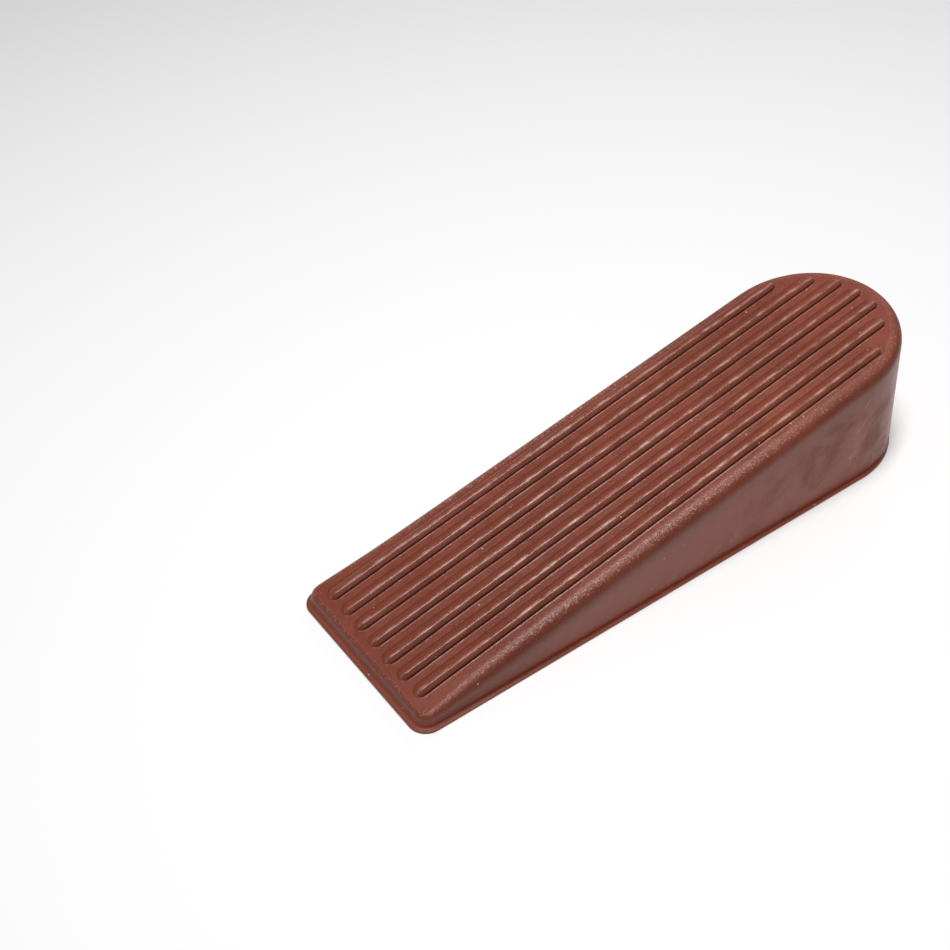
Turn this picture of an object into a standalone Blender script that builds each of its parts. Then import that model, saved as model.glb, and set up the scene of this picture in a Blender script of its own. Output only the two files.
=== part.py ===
"""Rubber door wedge: a ribbed wedge body bonded to a thin, slightly wider base sole.

X runs from the toe to the heel, Y across the wedge and Z up. The sole rests on z = 0 and the
object is centred on the origin in X and Y. Units are metres.
"""

from math import acos, atan2, cos, exp, pi, radians, sin, tan

import bmesh
import bpy
from mathutils import Matrix

MM = 0.001

# Overall sizes
LENGTH = 120.0 * MM
WIDTH = 38.0 * MM
HEEL_HEIGHT = 27.5 * MM        # ramp plane above the floor, at the heel's end
TOE_HEIGHT = 2.5 * MM          # ramp plane above the floor, at the toe's edge
TOE_CORNER_RADIUS = 3.4 * MM
SMALLEST_CORNER = 0.3 * MM     # of the toe's corners on the ramp

# Base sole
SOLE_THICKNESS = 0.5 * MM
LEDGE_WIDTH = 0.7 * MM         # how far the sole stands out beside the foot of the wall
HEEL_LEDGE = 0.15 * MM         # the same at the back of the heel, where the wall flares out to it
FLARE_START = 3.0 * MM         # where the wall starts to flare, behind the heel's centre
FLARE_END = 9.5 * MM
BOND_GAP = 0.3 * MM            # bond line between the sole and the body

# Wedge body
WALL_DRAFT = radians(2.0)
TOE_LEAN = 0.5 * MM            # how much further the low wall leans back at the toe
TOE_LEAN_REACH = 1.5 * MM      # how far behind the toe that extra lean has faded to a third
EDGE_RADIUS = 2.75 * MM        # rounding between the ramp and the wall
EDGE_SHARE = 0.55              # of a low wall's height that the rounding takes up at most
EDGE_BLEND = 0.7 * MM          # how softly the rounding grows to its full radius

# Grip ribs: each has a steep right flank on an upright foot, and a rounded left flank
RIB_COUNT = 7
RIB_HEIGHT = 0.8 * MM
RIB_CREST_RADIUS = 0.4 * MM
RIB_STEEP_ANGLE = radians(42.0)
RIB_ROUND_WIDTH = 1.85 * MM    # of the rounded left flank
RIB_FOOT_HEIGHT = 0.22 * MM
RIB_SINK = 0.3 * MM            # how far a rib reaches into the body under the ramp
RIB_NOSE = 1.3 * MM            # length of a rib's rounded end
RIB_SIDE_MARGIN = 1.4 * MM     # crest of an outer rib to the rounded edge beside it
RIB_TOE_MARGIN = 1.35 * MM     # end of a rib to the rounded edge at the toe
RIB_HEEL_MARGIN = 0.5 * MM     # end of a rib to the rounded edge at the heel

# Facets
ARC_STEPS = 48                 # half circle of the heel
CORNER_STEPS = 6               # quarter circle of a toe corner
EDGE_STEPS = 6                 # quarter circle of the rounded upper edge
SIDE_STEPS = 8                 # stretches along each straight side, shorter towards the toe
CREST_STEPS = 4                # arc over a rib's crest
FLANK_STEPS = 6                # arc of a rib's rounded flank
NOSE_STEPS = 5                 # sections through a rib's rounded end

RUBBER_BROWN = (0.214, 0.064, 0.045, 1.0)
SOLE_BROWN = (0.19, 0.06, 0.044, 1.0)
RUBBER_ROUGHNESS = 0.42

# Worked out from the sizes above
HALF_WIDTH = WIDTH / 2
HEEL_CENTRE_X = LENGTH - HALF_WIDTH
RAMP_SLOPE = (HEEL_HEIGHT - TOE_HEIGHT) / LENGTH
RAMP_ANGLE = atan2(HEEL_HEIGHT - TOE_HEIGHT, LENGTH)
FOOT_HEIGHT = SOLE_THICKNESS + BOND_GAP
HEEL_LEAN = tan(WALL_DRAFT) * (HEEL_HEIGHT - EDGE_RADIUS - FOOT_HEIGHT)
FLAT_HALF_WIDTH = HALF_WIDTH - LEDGE_WIDTH - HEEL_LEAN - EDGE_RADIUS
RIB_PITCH = 2 * (FLAT_HALF_WIDTH - RIB_SIDE_MARGIN) / (RIB_COUNT - 1)
CENTRING = Matrix.Translation((-LENGTH / 2, 0.0, 0.0))


def clear_scene():
    for obj in list(bpy.data.objects):
        bpy.data.objects.remove(obj)


def new_collection(name):
    collection = bpy.data.collections.new(name)
    bpy.context.scene.collection.children.link(collection)
    return collection


def rubber(name, colour):
    material = bpy.data.materials.new(name)
    material.use_nodes = True
    shader = material.node_tree.nodes["Principled BSDF"]
    shader.inputs["Base Color"].default_value = colour
    shader.inputs["Roughness"].default_value = RUBBER_ROUGHNESS
    shader.inputs["Metallic"].default_value = 0.0
    material.diffuse_color = colour
    return material


def new_object(name, mesh, collection, material=None):
    obj = bpy.data.objects.new(name, mesh)
    collection.objects.link(obj)
    if material:
        mesh.materials.append(material)
    return obj


def ramp_height(x):
    """Height of the ramp plane above the floor, x behind the toe's edge."""
    return TOE_HEIGHT + RAMP_SLOPE * x


def arc(centre, radius, start, end, steps):
    angles = [start + (end - start) * i / steps for i in range(steps + 1)]
    return [(centre[0] + radius * cos(a), centre[1] + radius * sin(a)) for a in angles]


def side(x_toe, x_heel, y):
    """Points between the two ends of a straight side, from the toe's end to the heel's."""
    shares = [(i / SIDE_STEPS) ** 2 for i in range(1, SIDE_STEPS)]
    return [(x_toe + share * (x_heel - x_toe), y) for share in shares]


def plan(inset):
    """The wedge's plan, counter-clockwise from the heel: half-round heel, square rounded toe."""
    half = HALF_WIDTH - inset
    corner = max(TOE_CORNER_RADIUS - inset, SMALLEST_CORNER)
    corner_x, corner_y = inset + corner, half - corner
    points = arc((HEEL_CENTRE_X, 0.0), half, -pi / 2, pi / 2, ARC_STEPS)
    points += reversed(side(corner_x, HEEL_CENTRE_X, half))
    points += arc((corner_x, corner_y), corner, pi / 2, pi, CORNER_STEPS)
    points += arc((corner_x, -corner_y), corner, pi, 1.5 * pi, CORNER_STEPS)
    points += side(corner_x, HEEL_CENTRE_X, -half)
    return points


def edge_radius(x):
    """Radius of the rounded edge, a smooth minimum of it and what a low wall has room for."""
    room = EDGE_SHARE * (ramp_height(x) - FOOT_HEIGHT)
    apart = ((room - EDGE_RADIUS) ** 2 + EDGE_BLEND ** 2) ** 0.5
    return (room + EDGE_RADIUS - apart) / 2


def ledge(x):
    """Width of the ledge at x, narrowing smoothly where the wall flares out at the heel."""
    share = (x - HEEL_CENTRE_X - FLARE_START) / (FLARE_END - FLARE_START)
    share = min(max(share, 0.0), 1.0)
    smooth = share ** 2 * (3 - 2 * share)
    return LEDGE_WIDTH + smooth * (HEEL_LEDGE - LEDGE_WIDTH)


def wall_lean(x):
    """How far the wall at x leans in over its height, by its draft and, near the toe, further."""
    rise = ramp_height(x) - edge_radius(x) - FOOT_HEIGHT
    return tan(WALL_DRAFT) * rise + TOE_LEAN * exp(-x / TOE_LEAN_REACH)


def ring_point(index, x_foot, turn):
    """One point of a body ring: turn 0 is the top of the wall and pi / 2 the edge of the ramp."""
    radius = edge_radius(x_foot)
    x, y = plan(LEDGE_WIDTH + wall_lean(x_foot) + radius * (1 - cos(turn)))[index]
    return x, y, ramp_height(x) - radius * (1 - sin(turn))


def body_rings():
    foot = plan(LEDGE_WIDTH)
    flared = [plan(ledge(x))[i] for i, (x, _) in enumerate(foot)]
    rings = [[(x, y, FOOT_HEIGHT) for x, y in flared]]
    for step in range(EDGE_STEPS + 1):
        turn = step / EDGE_STEPS * pi / 2
        rings.append([ring_point(i, x, turn) for i, (x, _) in enumerate(foot)])
    return rings


def loft(name, rings):
    """A closed mesh through rings of equally many points, capped at both ends."""
    bm = bmesh.new()
    rows = [[bm.verts.new(point) for point in ring] for ring in rings]
    for lower, upper in zip(rows, rows[1:]):
        for i, corner in enumerate(lower):
            j = (i + 1) % len(lower)
            bm.faces.new((corner, lower[j], upper[j], upper[i]))
    bm.faces.new(list(reversed(rows[0])))
    bm.faces.new(rows[-1])
    bmesh.ops.recalc_face_normals(bm, faces=bm.faces)
    mesh = bpy.data.meshes.new(name)
    bm.to_mesh(mesh)
    bm.free()
    return mesh


def rib_start_x():
    """Where the ribs end at the toe."""
    return LEDGE_WIDTH + edge_radius(LEDGE_WIDTH) + RIB_TOE_MARGIN


def rib_end_x(y):
    """Where the rib at y ends at the heel, on a half circle inside the ramp's rounded edge."""
    reach = FLAT_HALF_WIDTH - RIB_HEEL_MARGIN
    return HEEL_CENTRE_X + (reach ** 2 - y ** 2) ** 0.5


def rib_section():
    """Section of a rib about its crest line: across and up from the ramp, counter-clockwise."""
    bead = (RIB_HEIGHT ** 2 + RIB_ROUND_WIDTH ** 2) / (2 * RIB_HEIGHT)
    low = acos(RIB_ROUND_WIDTH / bead)
    flank = arc((0.0, RIB_HEIGHT - bead), bead, low, pi / 2, FLANK_STEPS)
    centre = (0.0, RIB_HEIGHT - RIB_CREST_RADIUS)
    crest = arc(centre, RIB_CREST_RADIUS, pi / 2, pi / 2 + RIB_STEEP_ANGLE, CREST_STEPS)
    steep_y, steep_z = crest[-1]
    right = steep_y - (steep_z - RIB_FOOT_HEIGHT) / tan(RIB_STEEP_ANGLE)
    under = [(right, -RIB_SINK), (RIB_ROUND_WIDTH, -RIB_SINK)]
    return under + flank + crest[1:] + [(right, RIB_FOOT_HEIGHT)]


def rib_ring(x, scale):
    return [(x, scale * across, scale * up) for across, up in rib_section()]


def nose_scales(steps):
    """Place along a rounded end and scale of the section there, from near its tip to full size."""
    turns = [pi / 2 * i / steps for i in range(1, steps + 1)]
    return [(RIB_NOSE * (1 - cos(turn)), sin(turn)) for turn in turns]


def rib(name, y, collection):
    """One grip rib along the ramp: its section carried from nose to nose."""
    start = rib_start_x()
    length = (rib_end_x(y) - start) / cos(RAMP_ANGLE)
    toe_nose = nose_scales(NOSE_STEPS)
    heel_nose = [(length - place, scale) for place, scale in reversed(toe_nose)]
    rings = [rib_ring(x, scale) for x, scale in toe_nose + heel_nose]
    obj = new_object(name, loft(name, rings), collection)
    on_ramp = CENTRING @ Matrix.Translation((start, y, ramp_height(start)))
    obj.matrix_world = on_ramp @ Matrix.Rotation(-RAMP_ANGLE, 4, "Y")
    obj.hide_render = True
    obj.display_type = "WIRE"
    return obj


def add_union(obj, tool):
    modifier = obj.modifiers.new(tool.name, "BOOLEAN")
    modifier.operation = "UNION"
    modifier.solver = "EXACT"
    modifier.object = tool


def build_body(parts, bars):
    mesh = loft("wedge_body", body_rings())
    mesh.transform(CENTRING)
    body = new_object("wedge_body", mesh, parts, rubber("rubber_body", RUBBER_BROWN))
    for number in range(RIB_COUNT):
        y = (number - (RIB_COUNT - 1) / 2) * RIB_PITCH
        add_union(body, rib(f"rib_{number + 1}", y, bars))
    return body


def build_sole(parts):
    rings = [[(x, y, z) for x, y in plan(0.0)] for z in (0.0, SOLE_THICKNESS)]
    mesh = loft("base_sole", rings)
    mesh.transform(CENTRING)
    return new_object("base_sole", mesh, parts, rubber("rubber_sole", SOLE_BROWN))


def main():
    clear_scene()
    parts = new_collection("door_wedge")
    bars = new_collection("rib_bars")
    build_body(parts, bars)
    build_sole(parts)


main()
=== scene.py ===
"""Moulded rubber door wedge: a ribbed wedge body on a thin base sole, with a plain studio round it.

X runs from the toe to the heel, Y across the wedge and Z up, in metres. The sole rests on z = 0.
"""

from math import atan2, cos, pi, radians, sin, tan

import bpy
import numpy as np
from bpy.props import FloatProperty, FloatVectorProperty, IntProperty, PointerProperty
from mathutils import Matrix, Vector


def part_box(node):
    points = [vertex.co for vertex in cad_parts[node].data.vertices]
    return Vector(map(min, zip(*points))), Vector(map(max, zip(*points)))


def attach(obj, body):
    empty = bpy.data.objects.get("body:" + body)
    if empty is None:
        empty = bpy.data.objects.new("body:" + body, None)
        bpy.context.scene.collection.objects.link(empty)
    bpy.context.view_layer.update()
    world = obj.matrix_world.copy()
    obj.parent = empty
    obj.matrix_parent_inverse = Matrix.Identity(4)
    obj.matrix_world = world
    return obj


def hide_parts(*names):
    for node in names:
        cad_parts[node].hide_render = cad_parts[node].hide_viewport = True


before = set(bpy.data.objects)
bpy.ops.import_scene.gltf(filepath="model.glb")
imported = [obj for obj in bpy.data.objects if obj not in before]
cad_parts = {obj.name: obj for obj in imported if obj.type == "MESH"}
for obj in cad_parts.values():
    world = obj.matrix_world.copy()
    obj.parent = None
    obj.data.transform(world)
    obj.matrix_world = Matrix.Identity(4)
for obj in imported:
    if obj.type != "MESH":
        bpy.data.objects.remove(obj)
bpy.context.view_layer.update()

bl_info = {
    "name": "Rubber door wedge",
    "version": (1, 0, 0),
    "blender": (4, 5, 0),
    "location": "3D View > Sidebar > Door wedge",
    "description": "Builds a ribbed rubber door wedge on its base sole, with a plain studio",
    "category": "Add Mesh",
}

MM = 0.001
SOLE_LOW, SOLE_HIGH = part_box("base_sole")
BODY_LOW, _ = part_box("wedge_body")

# Facets
ROWS = 170  # stations from toe to heel
COLUMNS = 350  # lines across the ramp
EDGE_ROWS = 12  # across the rounded edge
WALL_ROWS = 12  # down the wall
WALL_SHARES = np.repeat([0.0, 1.0], [EDGE_ROWS, WALL_ROWS])  # 1 on the rows of the wall
WALL_CROWDING = 0.9  # below 1 it moves the wall's rows towards the foot
EVEN_SHARE = 0.25  # of the stations' spacing
FINE_TURNS = 20001  # samples that the lines across are chosen from
SIDE_LINES = 0.35  # weight of a line anywhere, 1 being the middle's own
FOOT_LINES, FOOT_LINES_PLACE, FOOT_LINES_WIDTH = 3.4, -0.8 * MM, 0.28 * MM
CREST_LINES, CREST_LINES_WIDTH = 0.9, 0.6 * MM

# Outline and wall
SPREAD_TURN = radians(74.0)  # from here the outermost lines spread to the outline
SMALLEST_CORNER = 0.3 * MM
EDGE_BLEND = 0.7 * MM  # over which the edge's share of the wall gives way to its radius
TOE_LEAN_REACH = 1.5 * MM
FILLET = 0.08 * MM  # at the wall's foot
TOE_FILLET = 0.42 * MM  # more of it at the toe
TOE_FILLET_REACH = 5.0 * MM

# A rib's crease and lip, across from its upright foot
UPRIGHT_BEFORE, UPRIGHT_AFTER = 0.05 * MM, 0.03 * MM
CREASE_WIDTH, CREASE_FLOOR = 0.18 * MM, 0.04 * MM
LIP_HEIGHT = 0.04 * MM
LIP_GAP = 0.26 * MM
LIP_WIDTH = 0.1 * MM

# Scuffing with painted highlight, and painted shade, along a rib and round the rounded edge
# Scuffing with painted highlight on a rib's crest, and painted highlight on its lip
CREST_WEAR_HIGHLIGHT_WIDTH = 0.28 * MM
LIP_HIGHLIGHT = 0.6
# Painted shade: along a rib's crease and lower steep flank, along its round flank's foot, and low
# on the rounded edge
FOOT_SHADE = ((1.0, -0.06 * MM, 0.13 * MM), (0.2, 0.35 * MM, 0.4 * MM))  # share, place, width
ROUND_SHADE, ROUND_SHADE_WIDTH = 0.45, 0.25 * MM
EDGE_SHADE, EDGE_SHADE_ROLL, EDGE_SHADE_WIDTH = 0.42, radians(34.0), radians(17.0)
# Scuffing with painted highlight in a band on the rounded edge, where its highlight falls
EDGE_WEAR_HIGHLIGHT_ROLL, EDGE_WEAR_HIGHLIGHT_WIDTH = radians(66.0), radians(22.0)

# Unevenness of a worn mould
WANDER = ((0.03 * MM, 9.0 * MM, 2.1), (0.015 * MM, 3.7 * MM, 4.7))  # size, wave, turn per rib
TOE_END_SIZE, TOE_END_TURN = 0.15 * MM, 5.3
HEEL_END_SIZE, HEEL_END_TURN, HEEL_END_START = 0.2 * MM, 3.1, 1.0
SMALLEST_SCALE = 0.05  # keeps a rib's vanishing end from dividing by nothing
RIM_UNEVEN = 0.02 * MM
RIM_SHORT_WAVE, RIM_LONG_WAVE, RIM_SIDE_WAVE = 2.3 * MM, 7.1 * MM, 3.0 * MM

# The sole's profile
SOLE_LAP = 0.6 * MM  # under the body
RIM_SOFTNESS = 0.1 * MM  # radius of the rim's upper edge
RIM_STEPS = 5
RIM_FOOT = 0.06 * MM  # chamfer at the floor
FLAT_START = 0.9 * MM  # of the underside


# --- Settings -------------------------------------------------------------------------------


class WedgeSizes(bpy.types.PropertyGroup):
    """Sizes of the wedge."""

    length: FloatProperty(
        name="Length",
        description="Toe to heel, over the base sole",
        default=SOLE_HIGH.x - SOLE_LOW.x,
        unit="LENGTH",
    )
    width: FloatProperty(
        name="Width",
        description="Across the base sole",
        default=SOLE_HIGH.y - SOLE_LOW.y,
        unit="LENGTH",
    )
    heel_height: FloatProperty(
        name="Heel height",
        description="Ramp plane above the floor at the heel's end",
        default=27.5 * MM,
        unit="LENGTH",
    )
    toe_height: FloatProperty(
        name="Toe height",
        description="Ramp plane above the floor at the toe's edge",
        default=2.5 * MM,
        unit="LENGTH",
    )
    toe_corner: FloatProperty(
        name="Toe corner radius",
        description="Radius of the toe's corners, on the base sole",
        default=3.4 * MM,
        unit="LENGTH",
    )
    sole_thickness: FloatProperty(
        name="Sole thickness",
        description="Height of the rim round the foot of the wall",
        default=SOLE_HIGH.z - SOLE_LOW.z,
        unit="LENGTH",
    )
    ledge: FloatProperty(
        name="Ledge",
        description="How far the sole stands out round the wall",
        default=BODY_LOW.x - SOLE_LOW.x,
        unit="LENGTH",
    )
    draft: FloatProperty(
        name="Wall draft",
        description="Lean of the moulded wall",
        default=radians(2.0),
        subtype="ANGLE",
    )
    toe_lean: FloatProperty(
        name="Toe lean",
        description="How much further the low wall leans back at the toe",
        default=0.5 * MM,
        unit="LENGTH",
    )
    edge_radius: FloatProperty(
        name="Edge radius",
        description="Rounding between the ramp and the wall",
        default=2.75 * MM,
        unit="LENGTH",
    )
    edge_share: FloatProperty(
        name="Edge share",
        description="Share of a low wall's height that the rounding takes up at most",
        default=0.55,
        min=0.1,
        max=0.9,
    )
    heel_ledge: FloatProperty(
        name="Heel ledge",
        description="Ledge at the back of the heel, where the wall flares out to it",
        default=0.15 * MM,
        unit="LENGTH",
    )
    flare_start: FloatProperty(
        name="Flare start",
        description="Where the wall starts to flare, behind the heel's centre",
        default=3.0 * MM,
        unit="LENGTH",
    )
    flare_end: FloatProperty(
        name="Flare end",
        description="Where the wall has flared fully, behind the heel's centre",
        default=9.5 * MM,
        unit="LENGTH",
    )
    rib_count: IntProperty(
        name="Ribs", description="Number of grip ribs", default=7, min=2
    )
    rib_height: FloatProperty(
        name="Rib height",
        description="How far a rib's crest stands out of the ramp",
        default=0.8 * MM,
        unit="LENGTH",
    )
    crest_radius: FloatProperty(
        name="Crest radius",
        description="Rounding over a rib's crest",
        default=0.4 * MM,
        unit="LENGTH",
    )
    steep_angle: FloatProperty(
        name="Steep flank",
        description="Slope of a rib's right flank",
        default=radians(42.0),
        subtype="ANGLE",
    )
    round_width: FloatProperty(
        name="Round flank",
        description="Width of a rib's rounded left flank",
        default=1.85 * MM,
        unit="LENGTH",
    )
    foot_height: FloatProperty(
        name="Upright foot",
        description="Height of the upright foot under the steep flank",
        default=0.22 * MM,
        unit="LENGTH",
    )
    nose: FloatProperty(
        name="Rib nose",
        description="Length of a rib's rounded end",
        default=1.3 * MM,
        unit="LENGTH",
    )
    rib_side_margin: FloatProperty(
        name="Rib side margin",
        description="Crest of an outer rib to the rounded edge beside it",
        default=1.4 * MM,
        unit="LENGTH",
    )
    rib_toe_margin: FloatProperty(
        name="Rib toe margin",
        description="End of a rib to the rounded edge at the toe",
        default=1.35 * MM,
        unit="LENGTH",
    )
    rib_heel_margin: FloatProperty(
        name="Rib heel margin",
        description="End of a rib to the rounded edge at the heel",
        default=0.5 * MM,
        unit="LENGTH",
    )
    crease_depth: FloatProperty(
        name="Crease depth",
        description="Depth of the crease along a rib's upright foot",
        default=0.3 * MM,
        unit="LENGTH",
    )


class RubberLook(bpy.types.PropertyGroup):
    """Colours and finish of the rubber."""

    brown: FloatVectorProperty(
        name="Brown",
        description="Main colour of the rubber",
        default=(0.217, 0.046, 0.023),
        subtype="COLOR",
        min=0.0,
        max=1.0,
    )
    deep_brown: FloatVectorProperty(
        name="Deep brown",
        description="Darker patches of the rubber",
        default=(0.16, 0.033, 0.0165),
        subtype="COLOR",
        min=0.0,
        max=1.0,
    )
    # Painted light: a brighter, redder brown that lightens the wall
    wall_lit_brown: FloatVectorProperty(
        name="Side brown",
        description="Brown of the moulded wall",
        default=(0.29, 0.055, 0.024),
        subtype="COLOR",
        min=0.0,
        max=1.0,
    )
    # Paler brown of scuffed rubber, also painting the highlights of the crests and the rounded edge
    scuffed_and_highlight_brown: FloatVectorProperty(
        name="Worn brown",
        description="Rubbed rubber on the crests and edges",
        default=(0.4, 0.2, 0.15),
        subtype="COLOR",
        min=0.0,
        max=1.0,
    )
    # Pale dust; also painted highlight on the crests and the rounded edge, and painted sheen on the
    # wall near the heel
    dust: FloatVectorProperty(
        name="Dust",
        description="Specks of pale dust",
        default=(0.62, 0.44, 0.36),
        subtype="COLOR",
        min=0.0,
        max=1.0,
    )
    roughness: FloatProperty(
        name="Roughness",
        description="Roughness of a clean moulded face",
        default=0.34,
        min=0.0,
        max=1.0,
    )
    grain_depth: FloatProperty(
        name="Grain depth",
        description="Depth of the fine moulded grain",
        default=0.05 * MM,
        unit="LENGTH",
    )


# --- Shape ----------------------------------------------------------------------------------


def smooth_step(low, high, value):
    """0 below low, 1 above high and 3 s^2 - 2 s^3 between, s being the share of the way."""
    share = np.clip((value - low) / (high - low), 0.0, 1.0)
    return share**2 * (3.0 - 2.0 * share)


def bell(value, middle, width):
    """exp(-s^2), s being the distance from the middle in widths."""
    return np.exp(-(((value - middle) / width) ** 2))


class Form:
    """The wedge's surfaces as functions of a station along it and a turn across it.

    A station u runs from 0 at the toe to 1 at the heel. A turn t runs from -pi / 2 on the right
    side to pi / 2 on the left. Lines of one turn run straight along the ramp between the ribs.
    """

    def __init__(self, sizes):
        self.s = sizes
        self.half_width = sizes.width / 2
        self.heel_centre = sizes.length - self.half_width
        self.slope = (sizes.heel_height - sizes.toe_height) / sizes.length
        self.ramp_angle = atan2(sizes.heel_height - sizes.toe_height, sizes.length)
        self.foot = sizes.sole_thickness
        lean = tan(sizes.draft) * (sizes.heel_height - sizes.edge_radius - self.foot)
        self.flat_half = self.half_width - sizes.ledge - lean - sizes.edge_radius
        ribs = sizes.rib_count - 1
        self.rib_pitch = 2 * (self.flat_half - sizes.rib_side_margin) / ribs

    def ramp_height(self, x):
        """Height of the ramp plane: the toe's height plus the slope times x."""
        return self.s.toe_height + self.slope * x

    def edge_radius(self, x):
        """The lesser of the edge's radius and its share of the wall's height, blended smoothly."""
        room = self.s.edge_share * (self.ramp_height(x) - self.foot)
        both, apart = room + self.s.edge_radius, room - self.s.edge_radius
        return 0.5 * (both - np.sqrt(apart**2 + EDGE_BLEND**2))

    def ledge(self, x):
        """The ledge's width at x, narrowing to the heel's where the wall flares."""
        flare = smooth_step(self.s.flare_start, self.s.flare_end, x - self.heel_centre)
        return self.s.ledge + flare * (self.s.heel_ledge - self.s.ledge)

    def plan(self, u, turn, inset):
        """Plan point at station u and turn t, on the outline pulled in by the inset.

        y = flat half * sin t, except that the outermost lines spread to the outline's own half
        width. x runs from the toe's edge, whose corners are quarter circles, to the heel's half
        circle, where x = heel centre + sqrt(half^2 - y^2).
        """
        half = self.half_width - inset
        spread = smooth_step(SPREAD_TURN, pi / 2, np.abs(turn)) * np.sign(turn)
        y = self.flat_half * np.sin(turn) + (half - self.flat_half) * spread
        corner = np.maximum(self.s.toe_corner - inset, SMALLEST_CORNER)
        beyond = np.maximum(np.abs(y) - (half - corner), 0.0)
        toe = inset + corner - np.sqrt(np.maximum(corner**2 - beyond**2, 0.0))
        heel = self.heel_centre + np.sqrt(np.maximum(half**2 - y**2, 0.0))
        return toe + u * (heel - toe), y

    def edge_insets(self, u, turn):
        """Lean of the wall and radius of the edge beside the foot point at u and t.

        The lean is the draft's, plus the toe's own, which dies away by e to the minus x / reach.
        """
        x, _ = self.plan(u, turn, self.s.ledge)
        radius = self.edge_radius(x)
        lean = tan(self.s.draft) * (self.ramp_height(x) - radius - self.foot)
        return lean + self.s.toe_lean * np.exp(-x / TOE_LEAN_REACH), radius

    def rib_centres(self):
        """Where the crest lines stand across: one pitch apart, evenly about the middle."""
        first = -0.5 * (self.s.rib_count - 1)
        return [(first + number) * self.rib_pitch for number in range(self.s.rib_count)]

    def rib_foot(self):
        """Where a rib's upright foot stands, across from its crest line: a negative distance."""
        s = self.s
        corner = s.rib_height - s.crest_radius * (1 - cos(s.steep_angle))
        return -s.crest_radius * sin(s.steep_angle) - (corner - s.foot_height) / tan(s.steep_angle)

    def rib_section(self, across):
        """Height of a rib at a distance across from its crest line, positive to the left.

        The left flank is a circle's arc from the crest to the ramp. On the right a small arc turns
        into a straight steep flank, which ends in an upright foot and a narrow crease with a
        slightly raised lip.
        """
        s = self.s
        radius, steep, foot = s.crest_radius, s.steep_angle, self.rib_foot()
        bead = (s.rib_height**2 + s.round_width**2) / (2 * s.rib_height)
        left = s.rib_height - bead + np.sqrt(np.maximum(bead**2 - across**2, 0.0))
        arc = s.rib_height - radius + np.sqrt(np.maximum(radius**2 - across**2, 0.0))
        right = s.foot_height + (across - foot) * tan(steep)
        top = np.where(across > 0.0, left, arc)
        top = np.where(across < -radius * sin(steep), right, top)
        top = np.maximum(np.where(across > s.round_width, 0.0, top), 0.0)
        crease = -s.crease_depth * smooth_step(foot - CREASE_WIDTH, foot - CREASE_FLOOR, across)
        lip = LIP_HEIGHT * bell(across, foot - LIP_GAP, LIP_WIDTH)
        upright = smooth_step(foot - UPRIGHT_BEFORE, foot + UPRIGHT_AFTER, across)
        return upright * top + (1.0 - upright) * (crease + lip)

    def rib_marks(self, across):
        """Shares of scuffing and painted highlight on the crest and the lip, and of painted shade
        along both feet.
        """
        foot = self.rib_foot()
        wear_and_highlight = bell(across, 0.0, CREST_WEAR_HIGHLIGHT_WIDTH)
        wear_and_highlight = wear_and_highlight + LIP_HIGHLIGHT * bell(across, foot - LIP_GAP, LIP_WIDTH)
        painted_shade = ROUND_SHADE * bell(across, self.s.round_width, ROUND_SHADE_WIDTH)
        for share, place, width in FOOT_SHADE:
            painted_shade = painted_shade + share * bell(across, foot + place, width)
        return wear_and_highlight, painted_shade

    def rib_relief(self, x, y):
        """Height of the ribs above the ramp, and their shares of scuffing with painted highlight
        and of painted shade.

        The section shrinks towards its crest line over a rib's rounded nose, by
        sqrt(1 - (distance / nose)^2). Each rib's line wanders by sines of x, and its ends stand a
        little out of line with its neighbours'.
        """
        s = self.s
        start = s.ledge + self.edge_radius(s.ledge) + s.rib_toe_margin
        reach = self.flat_half - s.rib_heel_margin
        relief, wear_and_highlight, painted_shade = np.zeros((3, *x.shape))
        for number, centre in enumerate(self.rib_centres()):
            end = self.heel_centre + np.sqrt(reach**2 - centre**2)
            wander = sum(size * np.sin(x / wave + turn * number) for size, wave, turn in WANDER)
            early = start + s.nose + TOE_END_SIZE * sin(TOE_END_TURN * number)
            late = end - s.nose + HEEL_END_SIZE * sin(HEEL_END_TURN * number + HEEL_END_START)
            along = np.maximum(np.maximum(early - x, x - late), 0.0) / cos(self.ramp_angle)
            scale = np.sqrt(np.maximum(1.0 - (along / s.nose) ** 2, 0.0))
            across = (y - centre - wander) / np.maximum(scale, SMALLEST_SCALE)
            rib = scale * self.rib_section(across)
            beside = np.abs(y - centre) < 0.5 * self.rib_pitch
            worn_and_lit, shaded = self.rib_marks(across)
            relief = np.where(beside, rib, relief)
            wear_and_highlight = np.where(beside & (scale > 0.0), worn_and_lit, wear_and_highlight)
            painted_shade = np.where(beside & (scale > 0.0), shaded, painted_shade)
        return relief, wear_and_highlight, painted_shade

    def ramp_points(self, u, turn):
        """The ramp with its ribs: the ramp plane plus the relief, on the plan inside the edge."""
        lean, radius = self.edge_insets(u, turn)
        x, y = self.plan(u, turn, self.s.ledge + lean + radius)
        relief, wear_and_highlight, painted_shade = self.rib_relief(x, y)
        tilt = self.ramp_angle
        z = self.ramp_height(x) + relief * cos(tilt)
        return np.stack([x - relief * sin(tilt), y, z], -1), wear_and_highlight, painted_shade

    def edge_points(self, u, turn, roll):
        """The rounded edge: roll runs from pi / 2 on the ramp to 0 at the top of the wall."""
        lean, radius = self.edge_insets(u, turn)
        x, y = self.plan(u, turn, self.s.ledge + lean + radius * (1 - np.cos(roll)))
        return np.stack([x, y, self.ramp_height(x) - radius * (1 - np.sin(roll))], -1)

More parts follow.
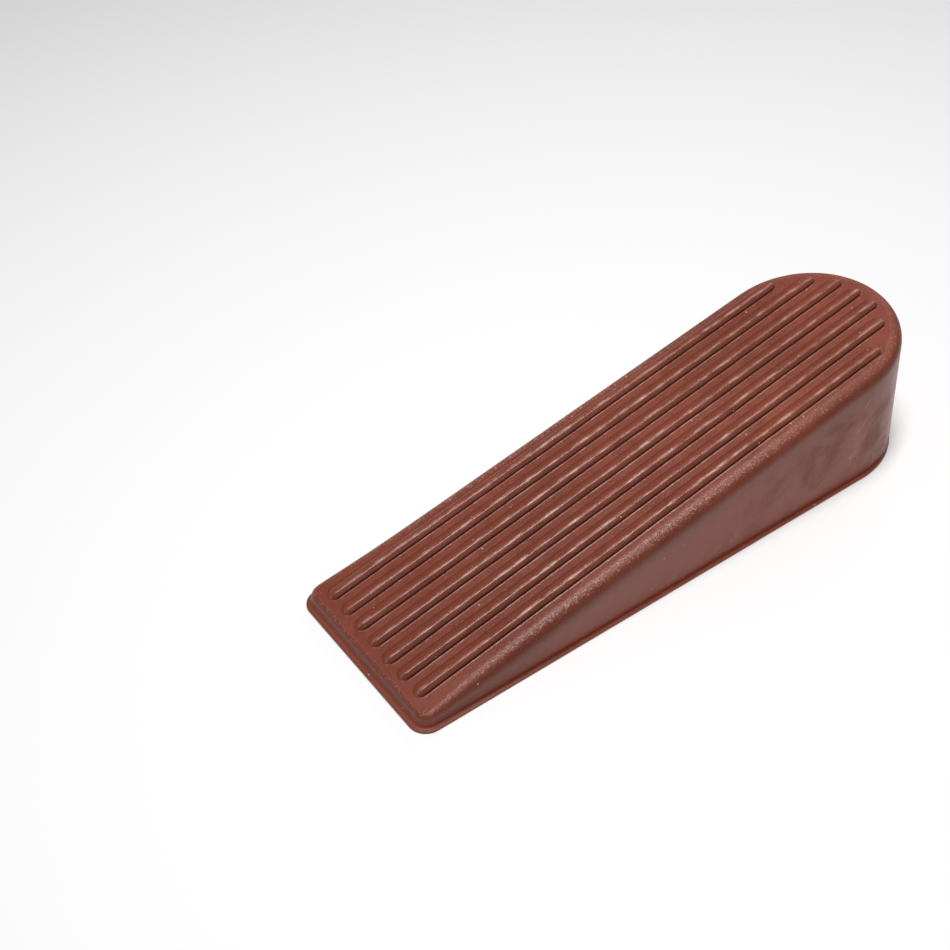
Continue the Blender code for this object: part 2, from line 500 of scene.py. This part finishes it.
    def wall_points(self, u, turn, drop):
        """The wall: drop runs from 0 under the rounded edge to 1 at the foot.

        The wall is straight from the edge to the ledge, and its last part curves out in a small
        quarter circle, which is larger at the low toe.
        """
        lean, _ = self.edge_insets(u, turn)
        x, _ = self.plan(u, turn, self.s.ledge)
        upper, lower = self.s.ledge + lean, self.ledge(x)
        top = self.edge_points(u, turn, np.zeros_like(drop))[..., 2]
        height = (top - self.foot) * (1 - drop)
        fillet = FILLET + TOE_FILLET * np.exp(-x / TOE_FILLET_REACH)
        below = np.maximum(fillet - height, 0.0)
        spread = fillet - np.sqrt(np.maximum(fillet**2 - below**2, 0.0))
        x, y = self.plan(u, turn, upper + (lower - upper) * drop - spread)
        return np.stack([x, y, self.foot + height], -1)

    def rim_points(self, u, turn, inset, height):
        """The sole's rim: the plan at an inset and a height.

        The inset grows by the size of a product of two sines, as a moulded edge is a little uneven.
        """
        x, y = self.plan(u, turn, inset)
        waves = np.sin(x / RIM_SHORT_WAVE) * np.sin(x / RIM_LONG_WAVE + y / RIM_SIDE_WAVE)
        x, y = self.plan(u, turn, inset + RIM_UNEVEN * np.abs(waves))
        return np.stack([x, y, height + 0.0 * x], -1)

    def turns(self, count):
        """Turns from one side to the other, closest at the ribs' steep feet and next at the crests.

        The weight of a line is a sum of cos t, a constant and, round each foot and crest,
        cos t * exp(-s^4), s being the distance in widths. The turns stand at even steps of the
        weight's running total.
        """
        fine = np.linspace(-pi / 2, pi / 2, FINE_TURNS)
        y = self.flat_half * np.sin(fine)
        weight = np.cos(fine) + SIDE_LINES
        for centre in self.rib_centres():
            at_foot = np.exp(-(((y - centre - FOOT_LINES_PLACE) / FOOT_LINES_WIDTH) ** 4))
            at_crest = np.exp(-(((y - centre) / CREST_LINES_WIDTH) ** 4))
            weight = weight + np.cos(fine) * (FOOT_LINES * at_foot + CREST_LINES * at_crest)
        total = np.concatenate([[0.0], np.cumsum(0.5 * (weight[1:] + weight[:-1]))])
        return np.interp(np.linspace(0.0, total[-1], count + 1), total, fine)


def stations(count):
    """Stations from 0 to 1, closer together at both ends: partly even, the rest a cosine."""
    even = np.linspace(0.0, 1.0, count + 1)
    return EVEN_SHARE * even + 0.5 * (1.0 - EVEN_SHARE) * (1.0 - np.cos(pi * even))


def rim_loop(rows, columns):
    """Row and column of each grid point round the grid's rim, counter-clockwise from above."""
    right = [(i, 0) for i in range(rows)]
    heel = [(rows, j) for j in range(columns)]
    left = [(i, columns) for i in range(rows, 0, -1)]
    toe = [(0, j) for j in range(columns, 0, -1)]
    return np.array(right + heel + left + toe)


def grid_faces(index):
    """Quads between neighbouring rows and columns of an index array, facing up."""
    a, b = index[:-1, :-1], index[1:, :-1]
    c, d = index[1:, 1:], index[:-1, 1:]
    return np.stack([a, b, c, d], -1).reshape(-1, 4)


def skirt_faces(index):
    """Quads between neighbouring rows of closed loops, each row outside or below the last."""
    nearer, further = index[:-1], index[1:]
    a, b = nearer, further
    c, d = np.roll(further, -1, 1), np.roll(nearer, -1, 1)
    return np.stack([a, b, c, d], -1).reshape(-1, 4)


def mesh_object(name, points, quads, caps, layers=None):
    """A smooth-shaded mesh object from points, quads and end caps, with its point layers."""
    mesh = bpy.data.meshes.new(name)
    mesh.from_pydata(points.tolist(), [], quads.tolist() + [cap.tolist() for cap in caps])
    mesh.polygons.foreach_set("use_smooth", np.ones(len(mesh.polygons), bool))
    for layer, values in (layers or {}).items():
        attribute = mesh.attributes.new(layer, "FLOAT", "POINT")
        attribute.data.foreach_set("value", values.astype(np.float32))
    mesh.validate()
    mesh.update()
    obj = bpy.data.objects.new(name, mesh)
    bpy.context.scene.collection.objects.link(obj)
    return obj


def centred(points, sizes):
    """The points moved back by half the length, so that the wedge's middle is at x = 0."""
    return points - np.array([sizes.length / 2, 0.0, 0.0])


def build_body(sizes):
    """The ramp's grid, and from its rim the rounded edge and the wall down to the sole."""
    form = Form(sizes)
    u, turn = np.meshgrid(stations(ROWS), form.turns(COLUMNS), indexing="ij")
    ramp, wear_and_highlight, painted_shade = form.ramp_points(u, turn)
    index = np.arange(u.size).reshape(u.shape)
    loop = rim_loop(ROWS, COLUMNS)
    around = index[loop[:, 0], loop[:, 1]]
    loop_u, loop_turn = u[loop[:, 0], loop[:, 1]], turn[loop[:, 0], loop[:, 1]]

    roll = np.linspace(pi / 2, 0.0, EDGE_ROWS + 1)[1:, None]
    edge = form.edge_points(loop_u[None], loop_turn[None], roll)
    drop = np.sin(0.5 * pi * np.linspace(0.0, 1.0, WALL_ROWS + 1)[1:, None]) ** WALL_CROWDING
    wall = form.wall_points(loop_u[None], loop_turn[None], drop)

    skirt = np.concatenate([edge, wall])
    rows = u.size + np.arange(skirt.shape[0] * skirt.shape[1]).reshape(skirt.shape[:2])
    rows = np.concatenate([around[None], rows])
    points = np.concatenate([ramp.reshape(-1, 3), skirt.reshape(-1, 3)])
    quads = np.concatenate([grid_faces(index), skirt_faces(rows)])
    no_ramp, no_wall = np.zeros(u.size), np.zeros(WALL_ROWS)
    # Painted shade low on the rounded edge; painted highlight with scuffing on its upper band,
    # where the highlight falls
    lower_edge_shade = EDGE_SHADE * bell(roll[:, 0], EDGE_SHADE_ROLL, EDGE_SHADE_WIDTH)
    upper_edge_highlight = bell(roll[:, 0], EDGE_WEAR_HIGHLIGHT_ROLL, EDGE_WEAR_HIGHLIGHT_WIDTH)
    # Point layers: scuffing with painted highlight on crests and lips, painted shade along the feet
    # and under the edge, the edge's band of painted highlight, and the wall
    marks = {
        "wear_and_highlight": (wear_and_highlight.ravel(), np.zeros(skirt.shape[0])),
        "painted_shade": (painted_shade.ravel(), np.concatenate([lower_edge_shade, no_wall])),
        "edge": (no_ramp, np.concatenate([upper_edge_highlight, no_wall])),
        "wall": (no_ramp, WALL_SHARES),
    }
    layers = {
        layer: np.concatenate([on_ramp, np.repeat(on_skirt, skirt.shape[1])])
        for layer, (on_ramp, on_skirt) in marks.items()
    }
    return mesh_object("wedge_body_skin", centred(points, sizes), quads, [rows[-1][::-1]], layers)


def build_sole(sizes):
    """The sole as one profile carried round the plan, from the ledge over the rim to below."""
    form = Form(sizes)
    thick, soft = sizes.sole_thickness, RIM_SOFTNESS
    profile = [(sizes.ledge + SOLE_LAP, thick), (sizes.ledge, thick), (0.5 * sizes.ledge, thick)]
    profile += [
        (soft * (1 - sin(turn)), thick - soft * (1 - cos(turn)))
        for turn in np.linspace(0.0, pi / 2, RIM_STEPS)
    ]
    profile += [(0.0, 0.5 * thick), (0.0, RIM_FOOT), (RIM_FOOT, 0.0), (FLAT_START, 0.0)]
    inset, height = np.array(profile).T[..., None]
    columns = COLUMNS // 2
    loop = rim_loop(ROWS, columns)
    loop_u = stations(ROWS)[loop[:, 0]][None]
    loop_turn = np.linspace(-pi / 2, pi / 2, columns + 1)[loop[:, 1]][None]
    points = form.rim_points(loop_u, loop_turn, inset, height)
    rows = np.arange(points.shape[0] * points.shape[1]).reshape(points.shape[:2])
    caps = [rows[0], rows[-1][::-1]]
    return mesh_object(
        "base_sole_skin", centred(points.reshape(-1, 3), sizes), skirt_faces(rows), caps
    )


# --- Materials ------------------------------------------------------------------------------


# Stretches along X, from the wedge's middle, over which a mark fades in or out
TOE_END_OUT = (-62.0 * MM, -20.0 * MM)
TOE_WALL_OUT = (-58.6 * MM, -55.0 * MM)
HEEL_IN = (0.0 * MM, 45.0 * MM)
SMEAR_IN = (-20.0 * MM, 35.0 * MM)
SCRATCH_IN = (25.0 * MM, 50.0 * MM)
# Painted sheen on the wall fades in over this stretch
HEEL_SHEEN_IN = (30.0 * MM, 62.0 * MM)

# Features of the marks: their size, and the stretch and turn of their coordinates
GRAIN_SIZE = 0.36 * MM
BROAD_PATCH_SIZE = 28.0 * MM
SMALL_PATCH_SIZE, SMALL_PATCH_DEPTH = 2.4 * MM, 0.03 * MM
DASH_SIZE, DASH_STRETCH = 0.8 * MM, (7.0, 1.0, 1.0)
SMEAR_SIZE, SMEAR_STRETCH, SMEAR_TURN = 8.0 * MM, (1.0, 1.0, 1.7), (0.0, 0.9, 0.0)
SCRATCH_SIZE, SCRATCH_STRETCH, SCRATCH_TURN = 1.8 * MM, (0.3, 0.3, 4.0), (0.0, 0.6, 0.0)
BLOOM_SIZE = 5.0 * MM
SPECK_RADIUS, SPECK_SPACING, SPECK_SHARE, SPECK_HEIGHT = 0.2 * MM, 2.3 * MM, 0.34, 0.05 * MM
PIT_SPACING, PIT_SHARE, PIT_DEPTH, PIT_TURN = 2.1 * MM, 0.3, 0.06 * MM, (0.4, 0.2, 0.9)
SPECULAR = 0.42

SURFACE_SOCKETS = {
    "colour": "Base Color",
    "rough": "Roughness",
    "specular": "Specular IOR Level",
    "normal": "Normal",
}


class Value:
    """A shader socket that takes part in Python expressions, each operator adding a Math node."""

    def __init__(self, shader, socket):
        self.shader, self.socket = shader, socket

    def math(self, operation, *others, clamp=False):
        """A Math node's result, with this value first."""
        inputs = dict(enumerate((self, *others)))
        settings = {"operation": operation, "use_clamp": clamp}
        return self.shader.node("ShaderNodeMath", settings, inputs)[0]

    def __add__(self, other):
        return self.math("ADD", other)

    def __sub__(self, other):
        return self.math("SUBTRACT", other)

    def __mul__(self, other):
        return self.math("MULTIPLY", other)

    def __rsub__(self, other):
        return (self * -1.0) + other

    __radd__ = __add__
    __rmul__ = __mul__

    def ramp(self, low, high):
        """0 below low and 1 above high, smooth between."""
        settings = {"interpolation_type": "SMOOTHSTEP", "clamp": True}
        inputs = {"Value": self, "From Min": low, "From Max": high}
        return self.shader.node("ShaderNodeMapRange", settings, inputs)["Result"]


class Outputs:
    """A node's outputs as Values, by name or number."""

    def __init__(self, shader, node):
        self.shader, self.outputs = shader, node.outputs

    def __getitem__(self, key):
        return Value(self.shader, self.outputs[key])


class Shader:
    """A material's node tree, and the one method that adds a node to it."""

    def __init__(self, name):
        self.material = bpy.data.materials.new(name)
        self.material.use_nodes = True
        self.tree = self.material.node_tree
        self.principled = self.tree.nodes["Principled BSDF"]

    def put(self, socket, value):
        """Links a Value to the socket, or sets the socket to a number, vector or colour."""
        if isinstance(value, Value):
            self.tree.links.new(value.socket, socket)
        elif isinstance(value, (tuple, list)) and len(value) == 3 and socket.type == "RGBA":
            socket.default_value = (*value, 1.0)
        else:
            socket.default_value = value

    def node(self, kind, settings=None, inputs=None):
        """Adds a node of this type, makes its settings, then fills its sockets."""
        node = self.tree.nodes.new(kind)
        for key, value in (settings or {}).items():
            setattr(node, key, value)
        for key, value in (inputs or {}).items():
            self.put(node.inputs[key], value)
        return Outputs(self, node)

    def surface(self, **inputs):
        """Sets the Principled shader's sockets by their short names."""
        for key, value in inputs.items():
            self.put(self.principled.inputs[SURFACE_SOCKETS[key]], value)

    def coordinates(self, stretch=(1.0, 1.0, 1.0), turn=(0.0, 0.0, 0.0)):
        """Object coordinates stretched along axes turned by these angles."""
        spot = self.node("ShaderNodeTexCoord")["Object"]
        inputs = {"Vector": spot, "Scale": stretch, "Rotation": turn}
        return self.node("ShaderNodeMapping", {"vector_type": "TEXTURE"}, inputs)["Vector"]

    def noise(self, vector, size, detail=2.0, roughness=0.5, distortion=0.0):
        """Noise from 0 to 1 whose features are about size metres across."""
        inputs = {"Vector": vector, "Scale": 1.0 / size, "Detail": detail, "Roughness": roughness}
        inputs["Distortion"] = distortion
        return self.node("ShaderNodeTexNoise", None, inputs)["Fac"]

    def specks(self, vector, spacing, radius, share):
        """1 inside round specks of this radius, on this share of cells spacing metres apart."""
        inputs = {"Vector": vector, "Scale": 1.0 / spacing}
        cell = self.node("ShaderNodeTexVoronoi", {"feature": "F1"}, inputs)
        chosen = self.node("ShaderNodeSeparateColor", None, {"Color": cell["Color"]})[0]
        near = 1.0 - cell["Distance"].ramp(0.5 * radius / spacing, radius / spacing)
        return near * chosen.math("LESS_THAN", share)

    def attribute(self, name):
        """A point layer of the piece."""
        return self.node("ShaderNodeAttribute", {"attribute_name": name})["Fac"]

    def mix(self, factor, first, second):
        """The first colour where the factor is 0, the second where it is 1."""
        inputs = {0: factor, 6: first, 7: second}
        return self.node("ShaderNodeMix", {"data_type": "RGBA"}, inputs)[2]


class Rubber:
    """A rubber material under construction: its colour, roughness and height so far.

    Each method lays its own marks over what is there.
    """

    def __init__(self, name, look):
        self.shader, self.look = Shader(name), look
        self.place = self.shader.coordinates()
        self.x = self.shader.node("ShaderNodeSeparateXYZ", None, {"Vector": self.place})[0]
        self.grain = self.shader.noise(self.place, GRAIN_SIZE, 3.0, 0.7, 0.6)
        self.toe = 1.0 - self.x.ramp(*TOE_END_OUT)
        self.colour = tuple(look.brown)
        self.rough = look.roughness
        self.height = self.grain * look.grain_depth

    def tint(self, share, colour, strength=1.0):
        """Blends this share of a colour in, the colour being scaled by the strength."""
        colour = tuple(channel * strength for channel in colour)
        self.colour = self.shader.mix(share, self.colour, colour)

    def mottle(self):
        """Broad and small patches of a darker brown, and the fine moulded grain."""
        broad = self.shader.noise(self.place, BROAD_PATCH_SIZE, 3.0)
        small = self.shader.noise(self.place, SMALL_PATCH_SIZE, 4.0, 0.6)
        self.tint(1.0 - (broad * 0.6 + small * 0.4).ramp(0.35, 0.65), self.look.deep_brown)
        self.tint(self.grain.ramp(0.52, 0.78) * 0.3, self.look.scuffed_and_highlight_brown)
        self.tint((1.0 - self.grain).ramp(0.56, 0.75) * 0.4, self.look.deep_brown)
        self.tint(self.toe * 0.4, self.look.deep_brown)
        self.rough = self.rough + (small - 0.5) * 0.2 + (broad - 0.5) * 0.15
        self.height = self.height + small * SMALL_PATCH_DEPTH

    def paint_wall_light(self):
        """Painted light: a brighter, redder brown that lightens the wall, weaker near the toe, and
        on the toe's wall.
        """
        wall = self.shader.attribute("wall")
        toe_wall = 1.0 - self.x.ramp(*TOE_WALL_OUT)
        self.tint(wall * ((1.0 - self.toe) * 0.6 + toe_wall * 0.4), self.look.wall_lit_brown)

    def paint_scuffs_and_highlights(self):
        """Scuffing with painted highlight: broken pale lines on the crests and a rough pale band on
        the rounded edge, placed where the lamp's highlights fall and palest mid-length.
        """
        crest = self.shader.attribute("wear_and_highlight")
        edge = self.shader.attribute("edge").ramp(0.2, 0.95)
        # Painted highlight: strongest mid-length, fading towards the heel and the toe
        towards_heel = self.x.ramp(*HEEL_IN)
        middle = (1.0 - towards_heel * 0.7) * (1.0 - self.toe * 0.7)
        dashes = self.shader.noise(self.shader.coordinates(DASH_STRETCH), DASH_SIZE, 3.0, 0.6)
        rubbed_and_lit = crest * (dashes * 0.7 + self.grain * 0.3).ramp(0.36, 0.62)
        rubbed_and_lit = rubbed_and_lit * (1.0 - self.toe * 0.5)
        on_edge = edge * middle
        rubbed_and_lit = rubbed_and_lit.math("MAXIMUM", on_edge * self.grain.ramp(0.5, 0.66) * 0.9)
        # Painted highlight: the dust colour whitens the brightest crest dashes and the edge's grain
        pale = crest * middle * dashes.ramp(0.52, 0.66)
        pale = pale.math("MAXIMUM", on_edge * self.grain.ramp(0.56, 0.68) * 0.7)
        self.tint(rubbed_and_lit * 0.9, self.look.scuffed_and_highlight_brown)
        self.tint(pale * 0.6, self.look.dust)
        self.rough = self.rough - crest * 0.1
        self.rough = self.rough + edge * ((self.grain - 0.5) * 0.7 + towards_heel * 0.25 + 0.06)
        self.height = self.height + edge * self.grain * (1.2 * self.look.grain_depth)

    def paint_foot_shade(self):
        """Painted shade: near-black brown along the ribs' feet and under the rounded edge, little
        of it at the toe.
        """
        toe_wall = 1.0 - self.x.ramp(*TOE_WALL_OUT)
        painted_shade = self.shader.attribute("painted_shade").math("MINIMUM", 1.0) * (1.0 - toe_wall * 0.8)
        # Painted shade: near-black brown in the creases and under the rounded edge
        self.tint(painted_shade * 0.85, self.look.deep_brown, 0.3)
        self.rough = self.rough + painted_shade * 0.3

    def wall_marks(self):
        """Dark smears, a few fine scratches and pale blotches on the wall, most near the heel; the
        pale blotches grow towards the heel as painted sheen.
        """
        wall = self.shader.attribute("wall")
        place = self.shader.coordinates(SMEAR_STRETCH, SMEAR_TURN)
        smear = self.shader.noise(place, SMEAR_SIZE, 6.0, 0.65, 0.5).ramp(0.45, 0.66)
        smear = smear * wall * self.x.ramp(*SMEAR_IN)
        self.tint(smear * 0.65, self.look.deep_brown)
        along = self.shader.coordinates(SCRATCH_STRETCH, SCRATCH_TURN)
        scratch = self.shader.noise(along, SCRATCH_SIZE, 3.0, 0.5, 0.4).ramp(0.66, 0.74)
        self.tint(scratch * wall * self.x.ramp(*SCRATCH_IN) * 0.5, self.look.dust)
        bloom_and_sheen = self.shader.noise(place, BLOOM_SIZE, 6.0, 0.6, 0.3)
        # Painted sheen: the wall grows paler towards the heel
        bloom_and_sheen = bloom_and_sheen + self.x.ramp(*HEEL_SHEEN_IN) * 0.3
        self.tint(bloom_and_sheen.ramp(0.6, 0.95) * wall * 0.26, self.look.dust)
        self.rough = self.rough + self.toe * wall * 0.2 + smear * 0.2

    def specks(self):
        """Raised specks of pale dust and small dark pits."""
        turned = self.shader.coordinates(turn=PIT_TURN)
        dust = self.shader.specks(self.place, SPECK_SPACING, SPECK_RADIUS, SPECK_SHARE)
        pits = self.shader.specks(turned, PIT_SPACING, SPECK_RADIUS, PIT_SHARE)
        self.tint(dust * 0.75, self.look.dust)
        self.tint(pits * 0.5, self.look.deep_brown, 0.4)
        self.height = self.height - pits * PIT_DEPTH + dust * SPECK_HEIGHT

    def finished(self):
        """The material, with the colour, roughness and height on its surface."""
        inputs = {"Height": self.height, "Distance": 1.0, "Strength": 1.0}
        normal = self.shader.node("ShaderNodeBump", None, inputs)["Normal"]
        rough = self.rough.math("MULTIPLY", 1.0, clamp=True)
        self.shader.surface(colour=self.colour, rough=rough, specular=SPECULAR, normal=normal)
        return self.shader.material


def moulded_rubber(name, look, ribbed):
    """Semi-gloss brown rubber; a ribbed piece also has the marks that its point layers place."""
    rubber = Rubber(name, look)
    rubber.mottle()
    if ribbed:
        rubber.paint_wall_light()
        rubber.paint_scuffs_and_highlights()
        rubber.paint_foot_shade()
        rubber.wall_marks()
    rubber.specks()
    return rubber.finished()


def plain_floor():
    """A plain pale matt floor."""
    shader = Shader("studio_floor")
    shader.surface(colour=FLOOR_COLOUR, rough=FLOOR_ROUGHNESS)
    return shader.material


# --- Studio ---------------------------------------------------------------------------------


CAMERA_PLACE = Vector((-0.1277, -0.1368, 0.1785))
CAMERA_AZIMUTH = radians(55.76)  # of the view, from +X towards +Y
CAMERA_DIP = radians(42.05)
CAMERA_ROLL = radians(-2.404)
CAMERA_SENSOR, CAMERA_LENS = 36.0, 52.6  # mm
CAMERA_CLIP = (0.01, 20.0)
FLOOR_REACH = 3.0
FLOOR_COLOUR, FLOOR_ROUGHNESS = (0.86, 0.86, 0.86), 0.7
WORLD_STRENGTH = 0.16
SOFTBOXES = (  # name, place, width, height and power
    ("overhead", (-0.02, -0.01, 0.52), 0.13, 0.24, 2.8),
    ("window", (1.0, 0.5, 0.6), 0.8, 0.25, 1.6),
)


def add_camera(scene):
    """A camera looking down by the dip along the azimuth, rolled about its own axis."""
    flat = cos(CAMERA_DIP)
    ahead = Vector((cos(CAMERA_AZIMUTH) * flat, sin(CAMERA_AZIMUTH) * flat, -sin(CAMERA_DIP)))
    level = Vector((sin(CAMERA_AZIMUTH), -cos(CAMERA_AZIMUTH), 0.0))
    upright = level.cross(ahead)
    right = level * cos(CAMERA_ROLL) + upright * sin(CAMERA_ROLL)
    up = upright * cos(CAMERA_ROLL) - level * sin(CAMERA_ROLL)
    data = bpy.data.cameras.new("studio_camera")
    data.sensor_width, data.lens = CAMERA_SENSOR, CAMERA_LENS
    data.clip_start, data.clip_end = CAMERA_CLIP
    camera = bpy.data.objects.new("studio_camera", data)
    scene.collection.objects.link(camera)
    turn = Matrix((right, up, -ahead)).transposed().to_4x4()
    camera.matrix_world = Matrix.Translation(CAMERA_PLACE) @ turn
    scene.camera = camera


def add_softbox(scene, name, place, width, height, power):
    """A rectangular area light at a place, facing the origin."""
    data = bpy.data.lights.new(name, "AREA")
    data.shape, data.size, data.size_y, data.energy = "RECTANGLE", width, height, power
    light = bpy.data.objects.new(name, data)
    scene.collection.objects.link(light)
    aim = (-Vector(place)).to_track_quat("-Z", "Y")
    light.matrix_world = Matrix.Translation(place) @ aim.to_matrix().to_4x4()


def add_floor(scene):
    """A plain square floor at z = 0."""
    mesh = bpy.data.meshes.new("studio_floor")
    reach = FLOOR_REACH
    corners = [(-reach, -reach, 0), (reach, -reach, 0), (reach, reach, 0), (-reach, reach, 0)]
    mesh.from_pydata(corners, [], [(0, 1, 2, 3)])
    mesh.materials.append(plain_floor())
    floor = bpy.data.objects.new("studio_floor", mesh)
    scene.collection.objects.link(floor)


def add_world(scene):
    """An even, dim white world."""
    world = bpy.data.worlds.new("studio_world")
    world.use_nodes = True
    background = world.node_tree.nodes["Background"]
    background.inputs["Color"].default_value = (1.0, 1.0, 1.0, 1.0)
    background.inputs["Strength"].default_value = WORLD_STRENGTH
    scene.world = world


# --- Operators ------------------------------------------------------------------------------


class WEDGE_OT_body(bpy.types.Operator):
    """Build the ribbed wedge body"""

    bl_idname = "wedge.body"
    bl_label = "Wedge body"

    def execute(self, context):
        body = build_body(context.scene.wedge_sizes)
        body.data.materials.append(moulded_rubber("rubber_body", context.scene.wedge_look, True))
        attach(body, "root")
        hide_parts("wedge_body")
        return {"FINISHED"}


class WEDGE_OT_sole(bpy.types.Operator):
    """Build the base sole"""

    bl_idname = "wedge.sole"
    bl_label = "Base sole"

    def execute(self, context):
        sole = build_sole(context.scene.wedge_sizes)
        sole.data.materials.append(moulded_rubber("rubber_sole", context.scene.wedge_look, False))
        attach(sole, "root")
        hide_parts("base_sole")
        return {"FINISHED"}


class WEDGE_OT_stage(bpy.types.Operator):
    """Set up the floor, the lights and the camera"""

    bl_idname = "wedge.stage"
    bl_label = "Studio"

    def execute(self, context):
        scene = context.scene
        scene.view_settings.view_transform = "Standard"
        add_floor(scene)
        add_world(scene)
        for softbox in SOFTBOXES:
            add_softbox(scene, *softbox)
        add_camera(scene)
        return {"FINISHED"}


class WEDGE_PT_panel(bpy.types.Panel):
    """Sizes, finish and build steps of the door wedge"""

    bl_idname = "WEDGE_PT_panel"
    bl_label = "Door wedge"
    bl_space_type = "VIEW_3D"
    bl_region_type = "UI"
    bl_category = "Door wedge"

    def draw(self, context):
        for group in (context.scene.wedge_sizes, context.scene.wedge_look):
            box = self.layout.box()
            for name in group.__annotations__:
                box.prop(group, name)
        for operator in (WEDGE_OT_body, WEDGE_OT_sole, WEDGE_OT_stage):
            self.layout.operator(operator.bl_idname)


CLASSES = (WedgeSizes, RubberLook, WEDGE_OT_body, WEDGE_OT_sole, WEDGE_OT_stage, WEDGE_PT_panel)


def register():
    for cls in CLASSES:
        bpy.utils.register_class(cls)
    bpy.types.Scene.wedge_sizes = PointerProperty(type=WedgeSizes)
    bpy.types.Scene.wedge_look = PointerProperty(type=RubberLook)


def unregister():
    del bpy.types.Scene.wedge_look
    del bpy.types.Scene.wedge_sizes
    for cls in reversed(CLASSES):
        bpy.utils.unregister_class(cls)


def main():
    """Builds the pieces and the studio in order."""
    register()
    bpy.ops.wedge.body()
    bpy.ops.wedge.sole()
    bpy.ops.wedge.stage()


if __name__ == "__main__":
    main()
